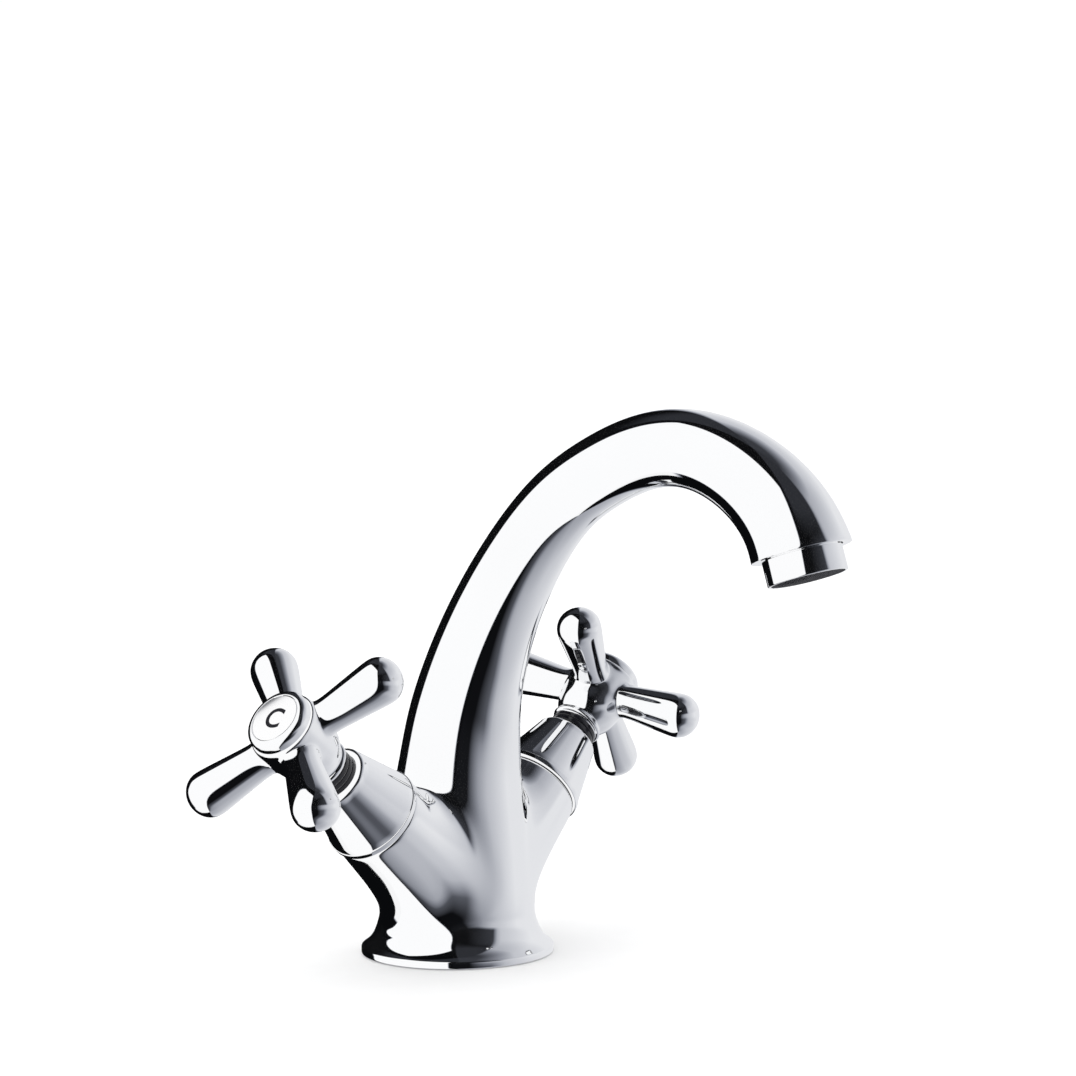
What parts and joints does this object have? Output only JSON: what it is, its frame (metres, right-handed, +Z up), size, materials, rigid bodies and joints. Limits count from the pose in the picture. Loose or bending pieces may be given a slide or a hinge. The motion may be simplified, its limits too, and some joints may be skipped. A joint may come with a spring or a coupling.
{
  "type": "basin mixer faucet",
  "caption": "Deck-mounted basin mixer: swan-neck spout on a flared foot, cross handles on slanted valve arms, chrome plated.",
  "frame": {"origin": "centre of the foot's underside, on the basin or worktop", "axes": "+Z up, -Y the way the spout reaches, +X towards the cold valve's arm"},
  "size_m": [0.1764, 0.169, 0.1579],
  "materials": {
    "chrome": "polished chrome plate on brass",
    "brass": "turned brass",
    "steel": "plain stainless steel",
    "steel_mesh": "fine stainless screen",
    "black_rubber": "matt black rubber",
    "white_plastic": "white moulded plastic",
    "fibre": "red vulcanised fibre",
    "ceramic": "lapped alumina ceramic",
    "index_plate": "satin chromed disc with a turned circle",
    "index_ink": "black enamel fill"
  },
  "bodies": {
    "root": {"body_casting": "chrome", "base_seal": "black_rubber", "aerator_housing": "chrome", "aerator_screen": "steel_mesh", "aerator_core": "white_plastic", "aerator_washer": "black_rubber", "valve_body_left": "brass", "valve_oring_left": "black_rubber", "seat_seal_left": "black_rubber", "disc_fixed_left": "ceramic", "bonnet_left": "chrome", "bonnet_seal_left": "fibre", "valve_body_right": "brass", "valve_oring_right": "black_rubber", "seat_seal_right": "black_rubber", "disc_fixed_right": "ceramic", "bonnet_right": "chrome", "bonnet_seal_right": "fibre"},
    "turning_left": {"disc_moving_left": "ceramic", "spindle_left": "brass", "spindle_orings_left": "black_rubber", "spindle_clip_left": "steel", "handle_left": "chrome", "handle_screw_left": "steel", "handle_cap_left": "chrome", "index_disc_left": "index_plate", "index_letter_left": "index_ink"},
    "turning_right": {"disc_moving_right": "ceramic", "spindle_right": "brass", "spindle_orings_right": "black_rubber", "spindle_clip_right": "steel", "handle_right": "chrome", "handle_screw_right": "steel", "handle_cap_right": "chrome", "index_disc_right": "index_plate", "index_letter_right": "index_ink"}
  },
  "joints": [
    {"name": "handle_left_turn", "type": "hinge", "parent": "root", "child": "turning_left", "pos_m": [-0.06645, 0, 0.06906], "axis": [-0.7771, 0, 0.6293], "range_deg": [0, 180]},
    {"name": "handle_right_turn", "type": "hinge", "parent": "root", "child": "turning_right", "pos_m": [0.06645, 0, 0.06906], "axis": [0.7771, 0, 0.6293], "range_deg": [0, 180]}
  ]
}
